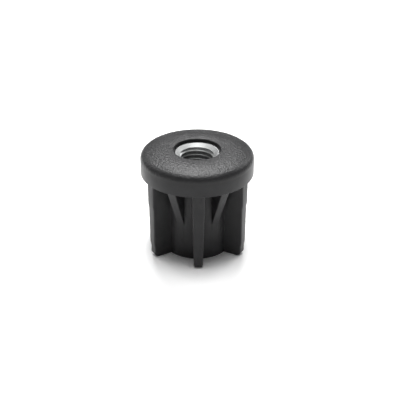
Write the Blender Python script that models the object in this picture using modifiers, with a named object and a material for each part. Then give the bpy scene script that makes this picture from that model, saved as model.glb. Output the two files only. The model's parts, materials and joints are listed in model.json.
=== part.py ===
"""A plug for the end of a round tube: a moulded body with a crowned flange, a hub, six radial ribs and six
gussets, and the threaded metal bush that is moulded into its top. Metres, +Z up, origin under the middle of
the foot."""

import math

import bmesh
import bpy

mm = 0.001

# The tube and the flange that covers its end
tube_diameter = 48.3 * mm
tube_wall = 1.5 * mm
rib_squeeze = 0.4 * mm
flange_thickness = 9.4 * mm
flange_top_round = 3.0 * mm
flange_under_break = 0.2 * mm

# The crown of the flange's top: a flat land round the mouth, and how far its edge falls below the land
land_diameter = 27.0 * mm
crown_height = 1.0 * mm

# The hub and the ribs that stand on the same foot plane
shank_length = 35.3 * mm
hub_diameter = 30.2 * mm
hub_draft = 0.75 * mm
rib_count = 6
rib_top_thickness = 5.25 * mm
rib_foot_thickness = 3.8 * mm
rib_corner = 0.6 * mm
root_fillet = 0.4 * mm
foot_round = 0.5 * mm

# The outer edge of a rib, from the flange down: a tight seat, a relieved stretch and a lead-in with a round toe
seat_length = 10.1 * mm
seat_draft = 0.05 * mm
seat_slope = 2.0 * mm
seat_step = 0.3 * mm
relief_draft = 0.12 * mm
lead_length = 4.6 * mm
lead_slope = 2.1 * mm
lead_step = 0.35 * mm
toe_round = 2.2 * mm

# The triangular gussets between the ribs
gusset_setback = 0.3 * mm
gusset_height = 17.8 * mm
gusset_top_thickness = 3.9 * mm
gusset_tip_thickness = 3.3 * mm
gusset_edge = 0.35 * mm

# The threaded bush, bored here at the thread's inner diameter
thread_diameter = 16.0 * mm
thread_pitch = 2.0 * mm
bush_wall = 1.3 * mm
bush_length = 20.0 * mm
bush_sunk = 1.4 * mm
bush_rim = 0.4 * mm
bush_countersink = 120.0
bush_end_chamfer = 0.4 * mm
groove_count = 2
groove_width = 2.4 * mm
groove_depth = 0.7 * mm
groove_flank = 0.4 * mm

# The hole that the bush sits in and the core hole below it
bush_gap = 0.3 * mm
mouth_margin = 0.65 * mm
lip_round = 0.5 * mm
core_clearance = 0.7 * mm
core_draft = 0.4 * mm

# How finely round stretches are divided, and how far joined shapes run into each other
turn_steps = 72
sink = 1.4 * mm
past = 2.8 * mm

height = shank_length + flange_thickness + crown_height
flange_radius = tube_diameter / 2
seat_reach = flange_radius - tube_wall + rib_squeeze
hub_radius = hub_diameter / 2
rib_pitch = 2 * math.pi / rib_count
thread_inner_radius = thread_diameter / 2 - 0.5413 * thread_pitch
bush_radius = thread_diameter / 2 + bush_wall
bush_top = height - bush_sunk
bush_foot = bush_top - bush_length


def hex_to_linear(code):
    """The linear colour of an sRGB hex code, with an alpha of 1."""
    channels = [int(code[i:i + 2], 16) / 255 for i in (1, 3, 5)]
    return [c / 12.92 if c <= 0.04045 else ((c + 0.055) / 1.055) ** 2.4 for c in channels] + [1.0]


def make_material(name, code, roughness, metallic):
    material = bpy.data.materials.new(name)
    material.use_nodes = True
    shader = material.node_tree.nodes["Principled BSDF"]
    shader.inputs["Base Color"].default_value = hex_to_linear(code)
    shader.inputs["Roughness"].default_value = roughness
    shader.inputs["Metallic"].default_value = metallic
    return material


def make_collection(name):
    collection = bpy.data.collections.new(name)
    bpy.context.scene.collection.children.link(collection)
    return collection


def clear_scene():
    for obj in list(bpy.data.objects):
        bpy.data.objects.remove(obj, do_unlink=True)


def arc(centre, radius, start, end, steps):
    """Points of an arc, with both of its ends, between two angles in radians."""
    angles = [start + (end - start) * i / steps for i in range(steps + 1)]
    return [(centre[0] + radius * math.cos(a), centre[1] + radius * math.sin(a)) for a in angles]


def add_object(name, mesh, collection):
    obj = bpy.data.objects.new(name, mesh)
    collection.objects.link(obj)
    return obj


def make_helper(obj):
    obj.hide_render = True
    obj.display_type = "WIRE"


def turn(name, profile, collection):
    """A turned solid from a profile of (radius, z) points that runs down the outer side, from axis to axis."""
    mesh = bpy.data.meshes.new(name)
    build = bmesh.new()
    points = [build.verts.new((radius, 0, z)) for radius, z in profile]
    for upper, lower in zip(points, points[1:]):
        build.edges.new((upper, lower))
    build.to_mesh(mesh)
    build.free()
    obj = add_object(name, mesh, collection)
    screw = obj.modifiers.new("Turn", "SCREW")
    screw.axis = "Z"
    screw.angle = 2 * math.pi
    screw.steps = turn_steps
    screw.render_steps = turn_steps
    screw.use_merge_vertices = True
    screw.merge_threshold = 0.00001
    return obj


def join(obj, other, operation):
    boolean = obj.modifiers.new(other.name, "BOOLEAN")
    boolean.operation = operation
    boolean.solver = "EXACT"
    boolean.object = other


def settle(obj):
    """Puts an object's modifiers into its mesh and shades its round faces smooth."""
    graph = bpy.context.evaluated_depsgraph_get()
    mesh = bpy.data.meshes.new_from_object(obj.evaluated_get(graph))
    obj.modifiers.clear()
    obj.data = mesh
    mesh.shade_smooth()
    mesh.set_sharp_from_angle(angle=math.radians(35))


def rib_thickness(z):
    """The ribs grow thicker from the foot to the flange, so that the moulding leaves its tool."""
    return rib_foot_thickness + (rib_top_thickness - rib_foot_thickness) * z / shank_length


def edge_levels():
    """The (z, reach) points of a rib's outer edge, from the foot up into the flange."""
    relieved = seat_reach - seat_draft - seat_step
    lead = relieved - relief_draft - lead_step
    toe = arc((lead - toe_round, toe_round), toe_round, -math.pi / 2, 0, 5)
    levels = [(z, reach) for reach, z in toe]
    levels.append((lead_length, lead))
    levels.append((lead_length + lead_slope, relieved - relief_draft))
    levels.append((shank_length - seat_length - seat_slope, relieved))
    levels.append((shank_length - seat_length, seat_reach - seat_draft))
    levels.append((shank_length + sink, seat_reach))
    return levels


def foot_inset(z):
    """How far the rounding of the foot's edges draws the outline in at this height."""
    below = max(foot_round - z, 0)
    return foot_round - math.sqrt(foot_round ** 2 - below ** 2)


def star_outline(z, reach):
    """The hub and its ribs cut across at one height: root fillets, rib flanks, rounded corners and rib ends."""
    inset = foot_inset(z)
    half = rib_thickness(z) / 2 - inset
    hub = hub_radius - hub_draft * (1 - z / height) - inset
    fillet = root_fillet + inset
    corner = max(rib_corner - inset, 0.05 * mm)
    root = (math.sqrt((hub + fillet) ** 2 - (half + fillet) ** 2), half + fillet)
    tip = (math.sqrt((reach - corner) ** 2 - (half - corner) ** 2), half - corner)
    root_angle = math.atan2(root[1], root[0])
    tip_angle = math.atan2(tip[1], tip[0])
    flank = arc(tip, corner, tip_angle, math.pi / 2, 3)
    flank += arc(root, fillet, -math.pi / 2, root_angle - math.pi, 3)
    outline = []
    for i in range(rib_count):
        turned = i * rib_pitch - math.pi / 2
        cos, sin = math.cos(turned), math.sin(turned)
        local = [(u, -v) for u, v in reversed(flank)] + [(reach, 0)] + flank
        local += arc((0, 0), hub, root_angle, rib_pitch - root_angle, 6)[1:-1]
        outline += [(u * cos - v * sin, u * sin + v * cos) for u, v in local]
    return outline


def make_star(collection):
    """The hub with its ribs, as a loft through the cuts at each level of the ribs' outer edge."""
    mesh = bpy.data.meshes.new("hub_and_ribs")
    build = bmesh.new()
    rings = []
    for z, reach in edge_levels():
        rings.append([build.verts.new((x, y, z)) for x, y in star_outline(z, reach)])
    count = len(rings[0])
    for lower, upper in zip(rings, rings[1:]):
        for i in range(count):
            j = (i + 1) % count
            build.faces.new((lower[i], lower[j], upper[j], upper[i]))
    build.faces.new(reversed(rings[0]))
    build.faces.new(rings[-1])
    build.to_mesh(mesh)
    build.free()
    return add_object("hub_and_ribs", mesh, collection)


def make_flange(collection):
    """The round head. Its crown leaves the flat land level and runs smoothly into the round of the edge."""
    run = flange_radius - flange_top_round - land_diameter / 2
    drop = crown_height + flange_top_round
    crown_radius = (run ** 2 + drop ** 2 - flange_top_round ** 2) / (2 * crown_height)
    meet = math.pi / 2 - math.asin(run / (crown_radius - flange_top_round))
    profile = [(0, height)]
    profile += arc((land_diameter / 2, height - crown_radius), crown_radius, math.pi / 2, meet, 5)
    profile += arc((flange_radius - flange_top_round, height - drop), flange_top_round, meet, 0, 7)[1:]
    profile.append((flange_radius, shank_length + flange_under_break))
    profile.append((flange_radius - flange_under_break, shank_length))
    profile.append((0, shank_length))
    return turn("flange", profile, collection)


def make_gusset(number, collection):
    """One gusset: a flat plate from the flange's underside down to the hub, thinner at its tip."""
    foot = shank_length - gusset_height
    reach = seat_reach - gusset_setback
    inner = hub_radius - past
    slope = gusset_height / (reach - hub_radius)
    top = shank_length + 2 * sink
    outline = [(inner, foot - slope * past), (reach, shank_length), (reach, top), (inner, top)]
    curve = bpy.data.curves.new("gusset_outline", "CURVE")
    curve.dimensions = "2D"
    curve.fill_mode = "BOTH"
    curve.extrude = gusset_top_thickness / 2
    spline = curve.splines.new("POLY")
    spline.points.add(len(outline) - 1)
    for point, (radius, z) in zip(spline.points, outline):
        point.co = (radius, z, 0, 1)
    spline.use_cyclic_u = True
    flat = add_object("gusset_outline", curve, collection)
    graph = bpy.context.evaluated_depsgraph_get()
    mesh = bpy.data.meshes.new_from_object(flat.evaluated_get(graph))
    bpy.data.objects.remove(flat)
    build = bmesh.new()
    build.from_mesh(mesh)
    bmesh.ops.remove_doubles(build, verts=build.verts, dist=0.001 * mm)
    bmesh.ops.dissolve_limit(build, angle_limit=0.01, verts=build.verts, edges=build.edges)
    outer = [e for e in build.edges if is_outer_edge(e, reach, slope)]
    bmesh.ops.bevel(build, geom=outer, offset=gusset_edge, segments=2, profile=0.5, affect="EDGES")
    turned = (number + 0.5) * rib_pitch - math.pi / 2
    cos, sin = math.cos(turned), math.sin(turned)
    for vert in build.verts:
        radius, z, side = vert.co
        share = min(max((z - foot) / gusset_height, 0), 1)
        thickness = gusset_tip_thickness + (gusset_top_thickness - gusset_tip_thickness) * share
        side *= thickness / gusset_top_thickness
        vert.co = (radius * cos - side * sin, radius * sin + side * cos, z)
    bmesh.ops.recalc_face_normals(build, faces=build.faces)
    build.to_mesh(mesh)
    build.free()
    return add_object(f"gusset_{number + 1}", mesh, collection)


def is_outer_edge(edge, reach, slope):
    """True for the two long edges of a gusset's sloping face, in the plane that it is drawn in."""
    if len(edge.link_faces) != 2:
        return False
    ends = [vert.co for vert in edge.verts]
    on_slope = all(abs((reach - co[0]) * slope - (shank_length - co[1])) < 0.01 * mm for co in ends)
    return on_slope and abs(ends[0][2] - ends[1][2]) < 0.01 * mm


def bush_profile(grow):
    """The outer side of the bush below its top, as (radius, z) points, grown outwards by a clearance."""
    band = (bush_length - groove_count * groove_width) / (groove_count + 1)
    points = []
    z = bush_top
    for _ in range(groove_count):
        z -= band
        bottom = z - groove_width
        points.append((bush_radius + grow, z - grow))
        points.append((bush_radius - groove_depth + grow, z - groove_flank - grow))
        points.append((bush_radius - groove_depth + grow, bottom + groove_flank + grow))
        points.append((bush_radius + grow, bottom + grow))
        z = bottom
    points.append((bush_radius + grow, bush_foot + bush_end_chamfer - grow * 0.4))
    points.append((bush_radius - bush_end_chamfer + grow * 0.4, bush_foot - grow))
    return points


def make_pocket(collection):
    """What is taken out of the moulding: the mouth over the bush, its seat and the core hole for a long screw."""
    mouth = bush_radius + mouth_margin
    core_top = thread_diameter / 2 + core_clearance
    profile = [(0, height + past), (mouth + lip_round, height + past)]
    lip = arc((mouth + lip_round, height - lip_round), lip_round, math.pi / 2, math.pi, 3)
    profile += lip
    profile.append((mouth, bush_top))
    profile.append((bush_radius + bush_gap, bush_top))
    profile += bush_profile(bush_gap)
    profile.append((core_top, bush_foot - bush_gap))
    profile.append((core_top + core_draft, 0))
    profile.append((core_top + core_draft, -past))
    profile.append((0, -past))
    return turn("pocket", profile, collection)


def make_cap_body(parts, helpers):
    body = make_star(parts)
    body.name = "cap_body"
    shapes = [make_gusset(number, helpers) for number in range(rib_count)]
    shapes.append(make_flange(helpers))
    pocket = make_pocket(helpers)
    for shape in shapes:
        join(body, shape, "UNION")
        make_helper(shape)
    join(body, pocket, "DIFFERENCE")
    make_helper(pocket)
    body.data.materials.append(make_material("black_polyamide", "#262627", 0.5, 0.0))
    settle(body)
    return body


def make_bush(parts, helpers):
    """The bush: knurl bands and retaining grooves outside, and a countersunk bore at the thread's inner diameter."""
    cone_height = (bush_radius - bush_rim - thread_inner_radius) / math.tan(math.radians(bush_countersink / 2))
    end_height = (thread_diameter / 2 - thread_inner_radius) / math.tan(math.radians(bush_countersink / 2))
    bush = turn("threaded_bush", [(0, bush_top), (bush_radius, bush_top)] + bush_profile(0) + [(0, bush_foot)], parts)
    bore = [(0, bush_top + past), (bush_radius - bush_rim, bush_top + past), (bush_radius - bush_rim, bush_top),
            (thread_inner_radius, bush_top - cone_height), (thread_inner_radius, bush_foot + end_height),
            (thread_diameter / 2, bush_foot), (thread_diameter / 2, bush_foot - past), (0, bush_foot - past)]
    cutter = turn("bush_bore", bore, helpers)
    join(bush, cutter, "DIFFERENCE")
    make_helper(cutter)
    bush.data.materials.append(make_material("plated_steel", "#C9CAC8", 0.3, 1.0))
    settle(bush)
    return bush


clear_scene()
part_collection = make_collection("round_tube_end_cap")
helper_collection = make_collection("cutters")
make_cap_body(part_collection, helper_collection)
make_bush(part_collection, helper_collection)
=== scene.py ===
import json
import math

import bpy
from mathutils import Matrix, Vector

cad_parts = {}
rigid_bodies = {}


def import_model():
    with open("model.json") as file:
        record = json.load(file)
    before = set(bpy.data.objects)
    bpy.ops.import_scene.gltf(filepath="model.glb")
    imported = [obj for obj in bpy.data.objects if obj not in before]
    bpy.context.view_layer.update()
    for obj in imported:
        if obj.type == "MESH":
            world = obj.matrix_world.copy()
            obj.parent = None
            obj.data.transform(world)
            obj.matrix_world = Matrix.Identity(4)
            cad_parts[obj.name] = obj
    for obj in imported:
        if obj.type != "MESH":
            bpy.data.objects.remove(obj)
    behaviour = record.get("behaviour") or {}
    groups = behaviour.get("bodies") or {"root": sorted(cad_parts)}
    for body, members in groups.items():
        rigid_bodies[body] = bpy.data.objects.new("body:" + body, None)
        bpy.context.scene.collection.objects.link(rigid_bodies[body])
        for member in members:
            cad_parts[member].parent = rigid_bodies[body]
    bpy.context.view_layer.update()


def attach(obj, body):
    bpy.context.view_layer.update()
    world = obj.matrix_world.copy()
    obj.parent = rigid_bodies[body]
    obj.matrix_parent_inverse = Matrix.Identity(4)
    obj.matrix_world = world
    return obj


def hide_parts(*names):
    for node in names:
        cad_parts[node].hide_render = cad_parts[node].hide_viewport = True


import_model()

mm = 0.001
pickSlack = 0.004 * mm    # how far off its place a picked point may lie
weld = 0.001 * mm         # points closer than this become one
levelNormal = 0.999       # a face is level where its normal's height is past this
insetStart = 0.02 * mm    # the width that an inset starts with, before it is scaled to its size


# working in edit mode

def deselectAll():
    for obj in bpy.context.view_layer.objects:
        obj.select_set(False)


def makeActive(obj):
    deselectAll()
    obj.select_set(True)
    bpy.context.view_layer.objects.active = obj


def startPiece(name):
    obj = bpy.context.view_layer.objects.active  # the primitive that was just added
    obj.name = name
    obj.data.name = name
    return obj


def pickMode(kind):
    bpy.ops.mesh.select_mode(type=kind)
    bpy.ops.mesh.select_all(action="DESELECT")


def pickFaces(obj, test):
    # selects the faces whose middle and normal pass the test
    pickMode("FACE")
    bpy.ops.object.mode_set(mode="OBJECT")
    for face in obj.data.polygons:
        face.select = bool(test(face.center, face.normal))
    bpy.ops.object.mode_set(mode="EDIT")


def pickEdges(obj, test):
    # selects the edges whose two ends pass the test together
    pickMode("EDGE")
    bpy.ops.object.mode_set(mode="OBJECT")
    verts = obj.data.vertices
    for edge in obj.data.edges:
        edge.select = bool(test(verts[edge.vertices[0]].co, verts[edge.vertices[1]].co))
    bpy.ops.object.mode_set(mode="EDIT")


def pickVerts(obj, test):
    pickMode("VERT")
    bpy.ops.object.mode_set(mode="OBJECT")
    for vert in obj.data.vertices:
        vert.select = bool(test(vert.co))
    bpy.ops.object.mode_set(mode="EDIT")


def near(a, b, slack=pickSlack):
    return abs(a - b) < slack


def radiusOf(co):
    return math.hypot(co[0], co[1])


def onCircle(co, radius, z):
    return near(radiusOf(co), radius, insetStart) and near(co.z, z)


def cutAcross(place, normal):
    # an edge loop right across the piece, where a loop cut would go
    bpy.ops.mesh.select_all(action="SELECT")
    bpy.ops.mesh.bisect(plane_co=place, plane_no=normal, use_fill=False, threshold=weld)


def pushOut(dx, dy, dz):
    bpy.ops.mesh.extrude_region_move(TRANSFORM_OT_translate={"value": (dx, dy, dz)})


def scaleAbout(x, y, z, centre):
    bpy.ops.transform.resize(value=(x, y, z), center_override=centre)


def scaleInset(outer, inner, z):
    # insets the selected round face, so that the new one has the inner radius
    bpy.ops.mesh.inset(thickness=insetStart, depth=0, use_even_offset=True)
    share = inner / (outer - insetStart)
    scaleAbout(share, share, 1, (0, 0, z))


def applyAll(obj):
    makeActive(obj)
    for modifier in list(obj.modifiers):
        bpy.ops.object.modifier_apply(modifier=modifier.name)


def settleMesh(obj):
    # merges the points that a Boolean or a screw leaves double, and turns the faces outwards
    makeActive(obj)
    bpy.ops.object.mode_set(mode="EDIT")
    bpy.ops.mesh.select_all(action="SELECT")
    bpy.ops.mesh.remove_doubles(threshold=weld / 2)
    bpy.ops.mesh.normals_make_consistent(inside=False)
    bpy.ops.object.mode_set(mode="OBJECT")


def joinSolid(obj, other, operation):
    boolean = obj.modifiers.new("join", "BOOLEAN")
    boolean.operation = operation
    boolean.solver = "EXACT"
    boolean.object = other
    applyAll(obj)
    bpy.data.objects.remove(other, do_unlink=True)


def ringOfCopies(obj, count, name):
    # copies round the axis, each with its own mesh, joined into one object
    copies = [obj]
    for i in range(1, count):
        twin = obj.copy()
        twin.data = obj.data.copy()
        bpy.context.collection.objects.link(twin)
        twin.data.transform(Matrix.Rotation(2 * math.pi * i / count, 4, "Z"))
        copies.append(twin)
    deselectAll()
    for twin in copies:
        twin.select_set(True)
    bpy.context.view_layer.objects.active = obj
    bpy.ops.object.join()
    obj.name = name
    return obj


# materials

def hexToLinear(code):
    channels = [int(code[i:i + 2], 16) / 255 for i in (1, 3, 5)]
    return [c / 12.92 if c <= 0.04045 else ((c + 0.055) / 1.055) ** 2.4 for c in channels] + [1.0]


def addNode(tree, kind, settings=None, links=None):
    # adds a node, sets its settings and input values, and joins its inputs to other nodes' outputs
    node = tree.nodes.new(kind)
    for name, value in (settings or {}).items():
        if hasattr(node, name):
            setattr(node, name, value)
        else:
            node.inputs[name].default_value = value
    for name, source in (links or {}).items():
        tree.links.new(source, node.inputs[name])
    return node


def newMaterial(name):
    material = bpy.data.materials.new(name)
    material.use_nodes = True
    tree = material.node_tree
    tree.nodes.clear()
    shader = addNode(tree, "ShaderNodeBsdfPrincipled")
    addNode(tree, "ShaderNodeOutputMaterial", links={"Surface": shader.outputs["BSDF"]})
    return material, tree, shader


# camera

view = {
    "framePixels": 400,
    "focalPixels": 1072,        # in pixels of that frame
    "aimHeight": 44.65 * mm,    # the aim is a point on the bore's axis, this far above the foot
    "distance": 452.6 * mm,
    "elevation": 28.83,         # degrees above the floor
    "turn": 1.63,               # degrees that the front rib stands to the right of the view's middle plane
    "roll": 0.144,              # degrees
    "aside": -1.222 * mm,       # how far the aim stands to the right of the frame's middle
    "above": 20.61 * mm,
    "clipNear": 10 * mm,
    "clipFar": 20,
}


def makeCamera():
    a = math.radians(-view["turn"])
    e = math.radians(view["elevation"])
    r = math.radians(view["roll"])
    right = Vector((math.cos(a), math.sin(a), 0))
    ahead = Vector((-math.sin(a) * math.cos(e), math.cos(a) * math.cos(e), -math.sin(e)))
    up = right.cross(ahead)
    target = Vector((0, 0, view["aimHeight"]))
    place = target - right * view["aside"] - up * view["above"] - ahead * view["distance"]
    tiltedRight = right * math.cos(r) + up * math.sin(r)
    tiltedUp = up * math.cos(r) - right * math.sin(r)
    turn = Matrix((tiltedRight, tiltedUp, -ahead)).transposed().to_4x4()
    data = bpy.data.cameras.new("studioCamera")
    camera = bpy.data.objects.new("studioCamera", data)
    bpy.context.collection.objects.link(camera)
    camera.matrix_world = Matrix.Translation(place) @ turn
    data.lens = view["focalPixels"] / view["framePixels"] * data.sensor_width
    data.clip_start = view["clipNear"]
    data.clip_end = view["clipFar"]
    bpy.context.scene.camera = camera


# studio, in metres

studio = {
    "paperWidth": 1.6,
    "paperDepth": 1.2,
    "paperBack": 0.5,     # the paper ends this far behind the object, past what the camera sees
    "paperColour": "#FBFBFB",
    "world": 0.26,        # the dim room round it
    "aimHeight": 0.03,    # where the softboxes point, above the middle of the foot
}

softboxes = {
    # overhead, to light the paper
    "overheadSoftbox": {"place": (0, 0.001, 1.3), "width": 0.65, "height": 0.6, "watts": 13.2},
    # high up behind, where the near part of the crown mirrors it
    "backSoftbox": {"place": (0, 0.78, 1.04), "width": 0.55, "height": 0.5, "watts": 15.2},
    # two dimmer ones, behind on either side
    "rightSoftbox": {"place": (0.78, 0.78, 0.69), "width": 0.5, "height": 0.5, "watts": 4.2},
    "leftSoftbox": {"place": (-0.78, 0.78, 0.69), "width": 0.5, "height": 0.5, "watts": 2.2},
}


def makeFloor():
    deselectAll()
    middle = studio["paperBack"] - studio["paperDepth"] / 2
    bpy.ops.mesh.primitive_plane_add(size=1.0, location=(0, middle, 0))
    floor = startPiece("floor")
    floor.scale = (studio["paperWidth"], studio["paperDepth"], 1)
    bpy.ops.object.transform_apply(location=True, rotation=True, scale=True)
    # matt white paper, which comes out pure white but for the shadow
    material, _, shader = newMaterial("paleSeamlessPaper")
    shader.inputs["Base Color"].default_value = hexToLinear(studio["paperColour"])
    shader.inputs["Roughness"].default_value = 0.9
    shader.inputs["Specular IOR Level"].default_value = 0.2
    floor.data.materials.append(material)


def makeLights():
    world = bpy.data.worlds.new("dimStudio")
    world.use_nodes = True
    world.node_tree.nodes["Background"].inputs["Color"].default_value = (1, 1, 1, 1)
    world.node_tree.nodes["Background"].inputs["Strength"].default_value = studio["world"]
    bpy.context.scene.world = world
    aim = Vector((0, 0, studio["aimHeight"]))
    for name, box in softboxes.items():
        data = bpy.data.lights.new(name, "AREA")
        data.shape = "RECTANGLE"
        data.size = box["width"]
        data.size_y = box["height"]
        data.energy = box["watts"]
        light = bpy.data.objects.new(name, data)
        bpy.context.collection.objects.link(light)
        light.location = box["place"]
        light.rotation_mode = "QUATERNION"
        light.rotation_quaternion = (aim - Vector(box["place"])).to_track_quat("-Z", "Y")


# the moulding

moulding = {
    "flangeRadius": 24.15 * mm,
    "shank": 35.3 * mm,        # from the foot to the flange's underside
    "edgeHeight": 44.7 * mm,   # where the edge's round would be level
    "topRound": 3.0 * mm,
    "crown": 1.0 * mm,         # how far the land stands above the edge's height
    "landRadius": 13.5 * mm,
    "edgeSteps": 14,
    "crownSteps": 10,
    "underBreak": 0.2 * mm,
    "hubRadius": 14.93 * mm,
    "hubDraft": 0.58 * mm,
    "footRound": 0.5 * mm,
    "mouthRadius": 9.95 * mm,
    "lipRound": 0.5 * mm,
    "mouthDepth": 1.4 * mm,
    "pocketRadius": 9.6 * mm,
    "pocketFloor": 24.0 * mm,
    "coreRadius": 8.7 * mm,
    "coreDraft": 0.4 * mm,
    "ribs": 6,
    "ribFoot": 3.8 * mm,
    "ribTop": 5.25 * mm,
    "ribReach": 23.05 * mm,
    "seatDraft": 0.05 * mm,
    "relief": 0.35 * mm,       # how far the rib's long stretch stands back from its tight seat
    "reliefDraft": 0.12 * mm,
    "leadStep": 0.35 * mm,
    "ribCorner": 0.6 * mm,
    "toeRound": 2.2 * mm,
    "rootFillet": 0.15 * mm,
    "seatFoot": 25.2 * mm,     # where the tight seat ends, above the foot
    "seatSlope": 2.0 * mm,
    "leadTop": 6.7 * mm,
    "leadSlope": 2.1 * mm,
    "gussetReach": 22.75 * mm,
    "gussetFoot": 17.5 * mm,
    "gussetTop": 3.9 * mm,
    "gussetTip": 3.3 * mm,
    "gussetEdge": 0.35 * mm,
    "gussetRest": 0.2 * mm,    # what is left of its underside, inside the hub
    "facets": 240,
    "sink": 1.8 * mm,          # how far ribs and gussets run into flange and hub before they are joined
    "smoothAngle": 32,
}


def topRings():
    # the flange's top from its side inwards, as (radius, height): round the edge, then up the crown
    m = moulding
    edge = m["topRound"]
    run = m["flangeRadius"] - edge - m["landRadius"]
    drop = m["crown"] + edge
    crownRadius = (run ** 2 + drop ** 2 - edge ** 2) / (2 * m["crown"])
    lean = math.asin(run / (crownRadius - edge))    # the slope at which the two rounds meet
    rings = []
    for i in range(1, m["edgeSteps"] + 1):
        a = math.pi / 2 - (math.pi / 2 - lean) * i / m["edgeSteps"]
        rings.append((m["flangeRadius"] - edge + edge * math.sin(a),
                      m["edgeHeight"] - edge + edge * math.cos(a)))
    for i in range(1, m["crownSteps"] + 1):
        a = lean * (1 - i / m["crownSteps"])
        rings.append((m["landRadius"] + crownRadius * math.sin(a),
                      m["edgeHeight"] + m["crown"] - crownRadius * (1 - math.cos(a))))
    return rings


def makeCore():
    # flange and hub from one cylinder, shaped by insets and extrusions, with the stepped hole through it
    m = moulding
    deselectAll()
    side = m["edgeHeight"] - m["topRound"]
    top = m["edgeHeight"] + m["crown"]
    depth = side - m["shank"]
    hubFoot = m["hubRadius"] - m["hubDraft"]
    coreFoot = m["coreRadius"] + m["coreDraft"]
    bpy.ops.mesh.primitive_cylinder_add(vertices=m["facets"], radius=m["flangeRadius"], depth=depth,
                                        end_fill_type="NGON", location=(0, 0, m["shank"] + depth / 2))
    core = startPiece("capMoulding")
    bpy.ops.object.transform_apply(location=True, rotation=True, scale=True)
    bpy.ops.object.mode_set(mode="EDIT")
    pickEdges(core, lambda p, q: near(p.z, m["shank"]) and near(q.z, m["shank"]))
    bpy.ops.mesh.bevel(offset=m["underBreak"], segments=3, profile=0.5, affect="EDGES")
    # the top face, drawn in ring by ring over the edge's round and the crown
    pickFaces(core, lambda c, n: n.z > levelNormal and near(c.z, side))
    radius, z = m["flangeRadius"], side
    for nextRadius, nextZ in topRings():
        pushOut(0, 0, nextZ - z)
        scaleAbout(nextRadius / radius, nextRadius / radius, 1, (0, 0, nextZ))
        radius, z = nextRadius, nextZ
    # the hub, drawn down from the flange's underside
    pickFaces(core, lambda c, n: n.z < -levelNormal and near(c.z, m["shank"]) and radiusOf(c) < mm)
    scaleInset(m["flangeRadius"] - m["underBreak"], m["hubRadius"], m["shank"])
    pushOut(0, 0, -m["shank"])
    taper = hubFoot / m["hubRadius"]
    scaleAbout(taper, taper, 1, (0, 0, 0))
    # the foot's ring, open in its middle for the core hole, and the round on its outer edge
    scaleInset(hubFoot, coreFoot, 0)
    bpy.ops.mesh.delete(type="FACE")
    footMiddle = (hubFoot + coreFoot) / 2
    pickEdges(core, lambda p, q: near(p.z, 0) and near(q.z, 0)
              and min(radiusOf(p), radiusOf(q)) > footMiddle)
    bpy.ops.mesh.bevel(offset=m["footRound"], segments=4, profile=0.5, affect="EDGES")
    # from the top: the mouth round the bush, the pocket it sits in, the ledge below it
    pickFaces(core, lambda c, n: n.z > levelNormal and near(c.z, top) and radiusOf(c) < mm)
    scaleInset(m["landRadius"], m["mouthRadius"], top)
    pushOut(0, 0, -m["mouthDepth"])
    scaleInset(m["mouthRadius"], m["pocketRadius"], top - m["mouthDepth"])
    pushOut(0, 0, m["pocketFloor"] - top + m["mouthDepth"])
    scaleInset(m["pocketRadius"], m["coreRadius"], m["pocketFloor"])
    bpy.ops.mesh.delete(type="FACE")
    pickEdges(core, lambda p, q: onCircle(p, m["mouthRadius"], top) and onCircle(q, m["mouthRadius"], top))
    bpy.ops.mesh.bevel(offset=m["lipRound"], segments=6, profile=0.5, affect="EDGES")
    # the core hole's wall, between the ledge and the foot
    pickMode("EDGE")
    bpy.ops.mesh.select_non_manifold()
    bpy.ops.mesh.bridge_edge_loops()
    bpy.ops.mesh.select_all(action="SELECT")
    bpy.ops.mesh.normals_make_consistent(inside=False)
    bpy.ops.object.mode_set(mode="OBJECT")
    return core


def ribLevels():
    # the rib's outer edge: (height, how far the edge stands back from its reach)
    m = moulding
    back = m["relief"] + m["reliefDraft"]
    return [(m["seatFoot"], m["seatDraft"]), (m["seatFoot"] - m["seatSlope"], m["relief"]),
            (m["leadTop"], back), (m["leadTop"] - m["leadSlope"], back + m["leadStep"])]


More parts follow.
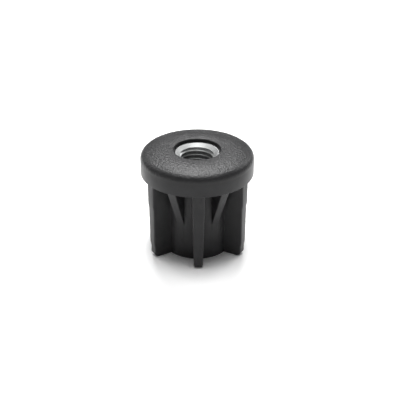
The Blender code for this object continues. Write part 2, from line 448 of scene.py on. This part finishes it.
def makeRib():
    # one rib from a cube: thicker at the top, stepped on its outer edge, flared where it leaves the hub
    m = moulding
    deselectAll()
    inner = m["hubRadius"] - m["sink"]
    top = m["shank"] + m["sink"]
    bpy.ops.mesh.primitive_cube_add(size=1, location=(0, -(inner + m["ribReach"]) / 2, top / 2))
    rib = startPiece("rib")
    rib.scale = (m["ribFoot"], m["ribReach"] - inner, top)
    bpy.ops.object.transform_apply(location=True, rotation=True, scale=True)
    bpy.ops.object.mode_set(mode="EDIT")
    pickVerts(rib, lambda co: co.z > top / 2)
    widening = 1 + (m["ribTop"] / m["ribFoot"] - 1) * top / m["shank"]
    scaleAbout(widening, 1, 1, (0, 0, top))
    # the outer edge's stretches: cuts first, while it is straight, then each is set back, the foot too
    levels = ribLevels()
    for z, _ in levels:
        cutAcross((0, 0, z), (0, 0, 1))
    for z, back in levels + [(0, levels[-1][1])]:
        pickVerts(rib, lambda co: near(co.z, z) and near(co.y, -m["ribReach"]))
        bpy.ops.transform.translate(value=(0, back, 0))
    # the toe, the foot's edges and the outer corners
    pickEdges(rib, lambda p, q: max(p.z, q.z) < pickSlack and max(p.y, q.y) < -m["ribReach"] + mm)
    bpy.ops.mesh.bevel(offset=m["toeRound"], segments=8, profile=0.5, affect="EDGES")
    pickEdges(rib, isRibEdge)
    bpy.ops.mesh.bevel(offset=m["ribCorner"], segments=5, profile=0.5, affect="EDGES", clamp_overlap=True)
    # the flare at the root: cuts that lean as the hub does, each widened along a quarter round
    lean = m["hubDraft"] / m["shank"]
    hubFoot = m["hubRadius"] - m["hubDraft"]
    halfWidth = (m["ribTop"] + m["ribFoot"]) / 4    # half of the mean one
    shares = (-1.0, 0.0, 0.2, 0.5, 1.0)             # of the fillet, outwards from the hub's wall
    for share in shares:
        cutAcross((0, -hubFoot - m["rootFillet"] * share, 0), (0, 1, lean))
    for share in shares:
        radius = hubFoot + m["rootFillet"] * share
        flare = m["rootFillet"] * (1 - math.sqrt(1 - (1 - max(share, 0)) ** 2))
        pickVerts(rib, lambda co: near(-co.y - lean * co.z, radius))
        scaleAbout((halfWidth + flare) / halfWidth, 1, 1, (0, 0, 0))
    bpy.ops.object.mode_set(mode="OBJECT")
    return rib


def isRibEdge(p, q):
    # the rib's long outer corners, its foot's long edges, and those that run round the toe between them
    m = moulding
    inner = m["hubRadius"] - m["sink"]
    margin = mm / 2
    along = q - p
    if abs(along.x) > margin or abs(p.x) < margin:
        return False
    if max(p.y, q.y) > -inner - margin and abs(along.z) > mm:
        return False
    outerSide = max(p.y, q.y) < -m["ribReach"] + m["toeRound"] + mm
    underSide = max(p.z, q.z) < pickSlack
    return (outerSide and not near(p.z, q.z)) or underSide


def makeGusset():
    # one gusset from a cube whose lower outer edge is drawn in to the hub
    m = moulding
    deselectAll()
    inner = m["hubRadius"] - m["sink"]
    top = m["shank"] + m["sink"]
    slope = (m["shank"] - m["gussetFoot"]) / (m["gussetReach"] - m["hubRadius"])
    bottom = m["gussetFoot"] - slope * m["sink"]
    middle = (0, -(inner + m["gussetReach"]) / 2, (top + bottom) / 2)
    bpy.ops.mesh.primitive_cube_add(size=1, location=middle)
    gusset = startPiece("gusset")
    gusset.scale = (m["gussetTop"], m["gussetReach"] - inner, top - bottom)
    bpy.ops.object.transform_apply(location=True, rotation=True, scale=True)
    bpy.ops.object.mode_set(mode="EDIT")
    cutAcross((0, 0, m["shank"]), (0, 0, 1))
    pickVerts(gusset, lambda co: near(co.z, bottom))
    share = m["gussetTip"] / m["gussetTop"]
    scaleAbout(share, 1, 1, (0, 0, 0))
    pickVerts(gusset, lambda co: near(co.z, bottom) and near(co.y, -m["gussetReach"]))
    bpy.ops.transform.translate(value=(0, m["gussetReach"] - inner - m["gussetRest"], 0))
    # the two corners of its slanting edge
    pickEdges(gusset, lambda p, q: abs(p.z - q.z) > mm and min(p.z, q.z) < m["shank"] - mm
              and min(p.y, q.y) < -m["gussetReach"] + pickSlack)
    bpy.ops.mesh.bevel(offset=m["gussetEdge"], segments=4, profile=0.5, affect="EDGES")
    bpy.ops.object.mode_set(mode="OBJECT")
    gusset.data.transform(Matrix.Rotation(math.pi / m["ribs"], 4, "Z"))
    return gusset


def makeMoulding():
    core = makeCore()
    ribs = ringOfCopies(makeRib(), moulding["ribs"], "ribs")
    gussets = ringOfCopies(makeGusset(), moulding["ribs"], "gussets")
    settleMesh(ribs)
    settleMesh(gussets)
    joinSolid(core, gussets, "UNION")
    joinSolid(core, ribs, "UNION")
    makeActive(core)
    bpy.ops.object.shade_smooth_by_angle(angle=math.radians(moulding["smoothAngle"]))
    print("moulding:", len(core.data.polygons), "faces")
    return core


# the bush

bush = {
    "radius": 9.3 * mm,
    "top": 44.3 * mm,
    "length": 20.0 * mm,
    "rim": 0.4 * mm,
    "topBreak": 0.08 * mm,
    "coneAngle": 120.0,
    "endSink": 0.1 * mm,         # how far the lower countersink stands outside the thread
    "endChamfer": 0.4 * mm,
    "threadRadius": 8.0 * mm,    # the right-hand M16 thread
    "pitch": 2.0 * mm,
    "threadDepth": 0.5413,       # pitches, the standard depth of a metric thread in a nut
    # half a thread, from the middle of its crest to its groove: how far each point stands back from the
    # crest, and then from the groove's floor, in mm, and its place along the axis in pitches
    "crest": ((0, 0), (0, 0.05), (0.03, 0.1), (0.1, 0.145), (0.22, 0.19)),
    "grooveFloor": ((0.05, 0.423), (0, 0.455)),
    "firstGroove": 1.95 * mm,    # below the bush's top, at the back
    "tapOverrun": 1.2 * mm,
    "grooves": 2,                # the retaining grooves outside
    "grooveWidth": 2.4 * mm,
    "grooveFlank": 0.4 * mm,
    "grooveDepth": 0.7 * mm,
    "facets": 192,
    "smoothAngle": 24,
}


def makeBlank():
    # the turned blank, with its two retaining grooves
    b = bush
    deselectAll()
    foot = b["top"] - b["length"]
    bpy.ops.mesh.primitive_cylinder_add(vertices=b["facets"], radius=b["radius"], depth=b["length"],
                                        end_fill_type="NGON", location=(0, 0, foot + b["length"] / 2))
    blank = startPiece("threadedBush")
    bpy.ops.object.transform_apply(location=True, rotation=True, scale=True)
    bpy.ops.object.mode_set(mode="EDIT")
    band = (b["length"] - b["grooves"] * b["grooveWidth"]) / (b["grooves"] + 1)
    waist = (b["radius"] - b["grooveDepth"]) / b["radius"]
    flank = b["grooveFlank"]
    for i in range(b["grooves"]):
        upper = b["top"] - band * (i + 1) - b["grooveWidth"] * i
        lower = upper - b["grooveWidth"]
        for z in (upper, upper - flank, lower + flank, lower):
            cutAcross((0, 0, z), (0, 0, 1))
        pickVerts(blank, lambda co: lower + flank / 2 < co.z < upper - flank / 2)
        scaleAbout(waist, waist, 1, (0, 0, upper))
    pickEdges(blank, lambda p, q: near(p.z, foot) and near(q.z, foot))
    bpy.ops.mesh.bevel(offset=b["endChamfer"], segments=1, affect="EDGES")
    pickEdges(blank, lambda p, q: near(p.z, b["top"]) and near(q.z, b["top"]))
    bpy.ops.mesh.bevel(offset=b["topBreak"], segments=2, profile=0.5, affect="EDGES")
    bpy.ops.object.mode_set(mode="OBJECT")
    return blank


def makeTap():
    # the space inside a right-hand thread: one tooth's edge, repeated up the axis and screwed once round
    b = bush
    p = b["pitch"]
    minor = b["threadRadius"] - b["threadDepth"] * p
    flank = [(minor + back * mm, along * p) for back, along in b["crest"]]
    flank += [(b["threadRadius"] - back * mm, along * p) for back, along in b["grooveFloor"]]
    tooth = flank + [(radius, p - z) for radius, z in reversed(flank)]
    teeth = int(b["length"] / p)
    spare = 2    # teeth past each end of the bush
    # a groove's middle is half a pitch above its tooth's start, and a quarter more at the back
    low = b["top"] - b["firstGroove"] - 0.75 * p - p * (teeth + spare)
    # one point of the circle is kept, and drawn out along the tooth
    deselectAll()
    bpy.ops.mesh.primitive_circle_add(vertices=3, radius=1 * mm, fill_type="NOTHING", location=(0, 0, 0))
    tap = startPiece("tap")
    bpy.ops.object.mode_set(mode="EDIT")
    pickVerts(tap, lambda co: co.y < mm / 2)
    bpy.ops.mesh.delete(type="VERT")
    bpy.ops.mesh.select_all(action="SELECT")
    bpy.ops.transform.translate(value=(tooth[0][0], -1 * mm, low))
    for (r0, z0), (r1, z1) in zip(tooth, tooth[1:]):
        pushOut(r1 - r0, 0, z1 - z0)
    bpy.ops.object.mode_set(mode="OBJECT")
    bpy.ops.object.transform_apply(location=True, rotation=True, scale=True)
    rows = tap.modifiers.new("teeth", "ARRAY")
    rows.count = teeth + 2 * spare + 1
    rows.use_relative_offset = False
    rows.use_constant_offset = True
    rows.constant_offset_displace = (0, 0, p)
    rows.use_merge_vertices = True
    rows.merge_threshold = weld
    turn = tap.modifiers.new("turn", "SCREW")
    turn.axis = "Z"
    turn.angle = 2 * math.pi
    turn.screw_offset = p
    turn.steps = b["facets"]
    turn.render_steps = b["facets"]
    applyAll(tap)
    settleMesh(tap)
    # both ends are cut off level and closed, a little outside the bush
    bpy.ops.object.mode_set(mode="EDIT")
    upperEnd = b["top"] + b["tapOverrun"]
    lowerEnd = b["top"] - b["length"] - b["tapOverrun"]
    for z, side in ((upperEnd, 1), (lowerEnd, -1)):
        bpy.ops.mesh.select_all(action="SELECT")
        bpy.ops.mesh.bisect(plane_co=(0, 0, z), plane_no=(0, 0, side), use_fill=True, clear_outer=True,
                            threshold=weld)
    bpy.ops.mesh.select_all(action="SELECT")
    bpy.ops.mesh.normals_make_consistent(inside=False)
    bpy.ops.object.mode_set(mode="OBJECT")
    return tap


def makeCone(z, direction):
    # the countersink's cone, opening towards the end that it is at
    b = bush
    wide = b["radius"] - b["rim"] if direction > 0 else b["threadRadius"] + b["endSink"]
    slope = math.tan(math.radians(b["coneAngle"] / 2))
    rise = 1.0 * mm    # how far the cone goes on outside the bush
    depth = wide / slope + rise
    deselectAll()
    bpy.ops.mesh.primitive_cone_add(vertices=b["facets"], radius1=depth * slope, radius2=0, depth=depth,
                                    location=(0, 0, 0))
    cone = startPiece("cone")
    cone.data.transform(Matrix.Translation((0, 0, depth / 2)))
    if direction > 0:
        cone.data.transform(Matrix.Rotation(math.pi, 4, "X"))
    cone.data.transform(Matrix.Translation((0, 0, z + direction * rise)))
    return cone


def makeBush():
    blank = makeBlank()
    tap = makeTap()
    print("tap:", len(tap.data.polygons), "faces")
    joinSolid(blank, tap, "DIFFERENCE")
    joinSolid(blank, makeCone(bush["top"], 1), "DIFFERENCE")
    joinSolid(blank, makeCone(bush["top"] - bush["length"], -1), "DIFFERENCE")
    settleMesh(blank)
    bpy.ops.object.shade_smooth_by_angle(angle=math.radians(bush["smoothAngle"]))
    print("bush:", len(blank.data.polygons), "faces")
    return blank


# the moulding's finish

polyamide = {
    "tones": ((0.3, "#242425"), (0.75, "#2B2B2C")),    # a place in the clouding, and the black there
    "clouding": 6 * mm,
    "grain": 0.95 * mm,          # coarser than real eroded grain, which would not show
    "grainDepth": 0.27 * mm,
    "grainFrom": 3.5 * mm,       # below the edge's height, where the grain starts to rise from its least
    "grainTo": 1.5 * mm,         # below the edge's height, where it is full
    "leastGrain": 0.1,
    "roughness": 0.36,
    "specular": 0.2,
}


def blackPolyamide():
    # glass-filled polyamide, injection moulded against spark-eroded steel: a deep grey black, whose grain
    # breaks up the light on the crowned top, while the nearly smooth sides stay silky
    p = polyamide
    material, tree, shader = newMaterial("blackPolyamideEroded")
    place = addNode(tree, "ShaderNodeTexCoord").outputs["Object"]
    parts = addNode(tree, "ShaderNodeSeparateXYZ", links={"Vector": place})
    grain = addNode(tree, "ShaderNodeTexNoise",
                    {"Scale": 1 / p["grain"], "Detail": 2.0, "Roughness": 0.55}, {"Vector": place})
    cloud = addNode(tree, "ShaderNodeTexNoise",
                    {"Scale": 1 / p["clouding"], "Detail": 2.0}, {"Vector": place})
    tone = addNode(tree, "ShaderNodeValToRGB", links={"Fac": cloud.outputs["Fac"]})
    for stop, (position, code) in zip(tone.color_ramp.elements, p["tones"]):
        stop.position = position
        stop.color = hexToLinear(code)
    eroded = addNode(tree, "ShaderNodeMapRange",
                     {"From Min": moulding["edgeHeight"] - p["grainFrom"],
                      "From Max": moulding["edgeHeight"] - p["grainTo"],
                      "To Min": p["leastGrain"], "To Max": 1.0},
                     {"Value": parts.outputs["Z"]})
    height = addNode(tree, "ShaderNodeMath", {"operation": "MULTIPLY"},
                     {0: grain.outputs["Fac"], 1: eroded.outputs["Result"]})
    bump = addNode(tree, "ShaderNodeBump", {"Strength": 1.0, "Distance": p["grainDepth"]},
                   {"Height": height.outputs["Value"]})
    tree.links.new(tone.outputs["Color"], shader.inputs["Base Color"])
    tree.links.new(bump.outputs["Normal"], shader.inputs["Normal"])
    shader.inputs["Roughness"].default_value = p["roughness"]
    shader.inputs["IOR"].default_value = 1.53
    shader.inputs["Specular IOR Level"].default_value = p["specular"]
    return material


# the bush's finish

plating = {
    "tones": ("#D3D5D6", "#EDEEED"),
    "clouding": 1.2 * mm,
    # the depth below the bush's top over which the painted shade and painted highlight run
    "paintedLightDepth": 5 * mm,        # below the bush's top
    "roughness": 0.54,
    # what multiplies the plating, by its place in that depth, from 0 at the bottom to 1 at the top:
    # painted shade deep in the bore, a painted highlight on the thread's first turns, and a duller grey on
    # the countersink
    "deepPaintedShade": (0.34, "#B4B4B4"),
    "firstTurnsPaintedHighlight": ((0.44, "#F8F8F8"), (0.6, "#F8F8F8")),
    "countersink": (0.76, "#A8A8A8"),
}


def platedSteel():
    # turned steel with a thin zinc plating: satin grey on the countersink, a painted highlight on the
    # thread's first turns, and painted shade further down the bore
    p = plating
    material, tree, shader = newMaterial("zincPlatedTurnedSteel")
    place = addNode(tree, "ShaderNodeTexCoord").outputs["Object"]
    parts = addNode(tree, "ShaderNodeSeparateXYZ", links={"Vector": place})
    cloud = addNode(tree, "ShaderNodeTexNoise",
                    {"Scale": 1 / p["clouding"], "Detail": 3.0}, {"Vector": place})
    tone = addNode(tree, "ShaderNodeValToRGB", links={"Fac": cloud.outputs["Fac"]})
    for stop, code in zip(tone.color_ramp.elements, p["tones"]):
        stop.color = hexToLinear(code)
    depth = addNode(tree, "ShaderNodeMapRange",
                    {"From Min": bush["top"] - p["paintedLightDepth"], "From Max": bush["top"]},
                    {"Value": parts.outputs["Z"]})
    # a ramp by height: painted shade deep in the bore, a painted highlight on the first turns of the
    # thread
    paintedShadeAndHighlight = addNode(tree, "ShaderNodeValToRGB", links={"Fac": depth.outputs["Result"]})
    stops = paintedShadeAndHighlight.color_ramp.elements
    for stop, (position, code) in zip(stops, (p["deepPaintedShade"], p["countersink"])):
        stop.position = position
        stop.color = hexToLinear(code)
    for position, code in p["firstTurnsPaintedHighlight"]:
        stops.new(position).color = hexToLinear(code)
    # the plating's tone, multiplied by that painted shade and painted highlight
    platingWithPaintedLight = addNode(tree, "ShaderNodeVectorMath", {"operation": "MULTIPLY"},
                   {0: tone.outputs["Color"], 1: paintedShadeAndHighlight.outputs["Color"]})
    tree.links.new(platingWithPaintedLight.outputs["Vector"], shader.inputs["Base Color"])
    shader.inputs["Metallic"].default_value = 1.0
    shader.inputs["Roughness"].default_value = p["roughness"]
    return material


bpy.context.scene.view_settings.view_transform = "Standard"
makeCamera()
makeFloor()
makeLights()
print("studio is up")
cap = makeMoulding()
cap.data.materials.clear()
cap.data.materials.append(blackPolyamide())
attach(cap, "root")
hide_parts("cap_body")
insert = makeBush()
insert.data.materials.clear()
insert.data.materials.append(platedSteel())
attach(insert, "root")
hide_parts("threaded_bush")
